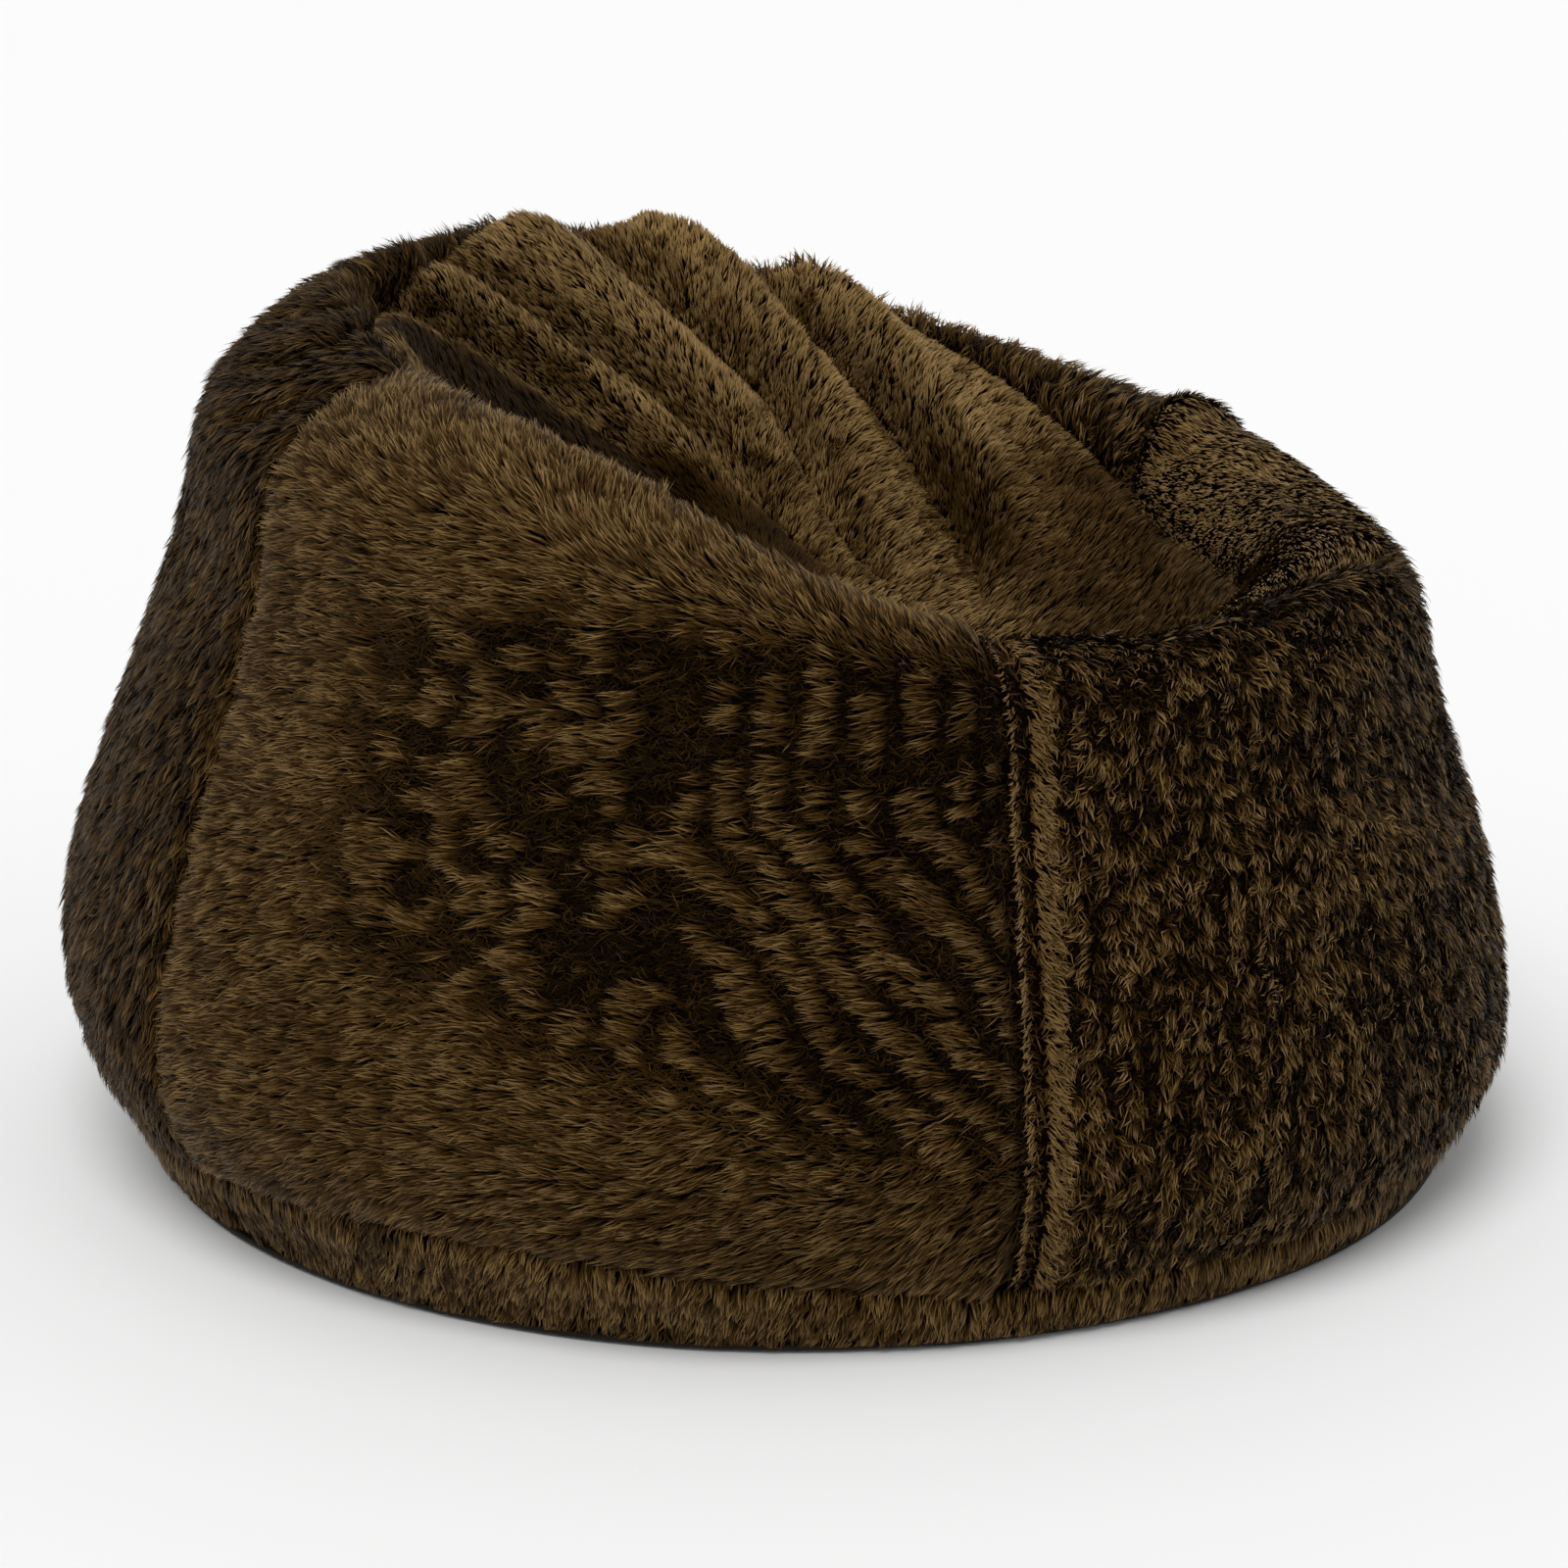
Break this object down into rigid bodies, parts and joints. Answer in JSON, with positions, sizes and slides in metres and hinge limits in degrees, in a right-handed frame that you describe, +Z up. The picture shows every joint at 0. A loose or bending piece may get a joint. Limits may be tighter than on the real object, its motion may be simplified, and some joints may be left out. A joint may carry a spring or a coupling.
{
  "type": "bean bag chair",
  "caption": "Round floor bean bag chair with a scooped seat, raised back and arms, long-pile cover, woven base with a zip, and a zipped liner of beads.",
  "frame": {"origin": "middle of the base's underside, on the floor", "axes": "+Z up, -Y towards the front of the seat, +X to the right of someone looking at the front"},
  "size_m": [0.9432, 0.916, 0.5562],
  "materials": {
    "long_pile": "matte",
    "seat_pile": "matte",
    "woven_base": "matte",
    "zip_nylon": "satin",
    "zip_metal": "satin",
    "liner_cloth": "matte",
    "liner_zip_nylon": "satin",
    "label_cloth": "satin",
    "beads": "matte"
  },
  "bodies": {
    "bag": {"front_left_panel": "long_pile", "front_right_panel": "long_pile", "back_left_panel": "long_pile", "back_right_panel": "long_pile", "seat_panel": "seat_pile", "base_band_front": "long_pile", "base_band_rear": "long_pile", "base_panel_front": "woven_base", "base_panel_rear": "woven_base", "zip_tape_front": "zip_nylon", "zip_tape_rear": "zip_nylon", "zip_coil_front": "zip_nylon", "zip_coil_rear": "zip_nylon", "zip_stop_left": "zip_metal", "zip_stop_right": "zip_metal", "zip_guard": "woven_base", "care_label": "label_cloth", "liner_front": "liner_cloth", "liner_rear": "liner_cloth", "liner_seat": "liner_cloth", "liner_base_front": "liner_cloth", "liner_base_rear": "liner_cloth", "liner_zip_tape_front": "liner_zip_nylon", "liner_zip_tape_rear": "liner_zip_nylon", "liner_zip_coil_front": "liner_zip_nylon", "liner_zip_coil_rear": "liner_zip_nylon", "liner_zip_stop_left": "zip_metal", "liner_zip_stop_right": "zip_metal", "bead_fill": "beads"},
    "cover_slider": {"zip_slider": "zip_metal"},
    "liner_slider": {"liner_zip_slider": "zip_metal"}
  },
  "joints": [
    {"name": "zip_slide", "type": "slide", "parent": "bag", "child": "cover_slider", "axis": [-1, 0, 0], "range_m": [0, 0.495]},
    {"name": "liner_zip_slide", "type": "slide", "parent": "bag", "child": "liner_slider", "axis": [-1, 0, 0], "range_m": [0, 0.385]}
  ]
}
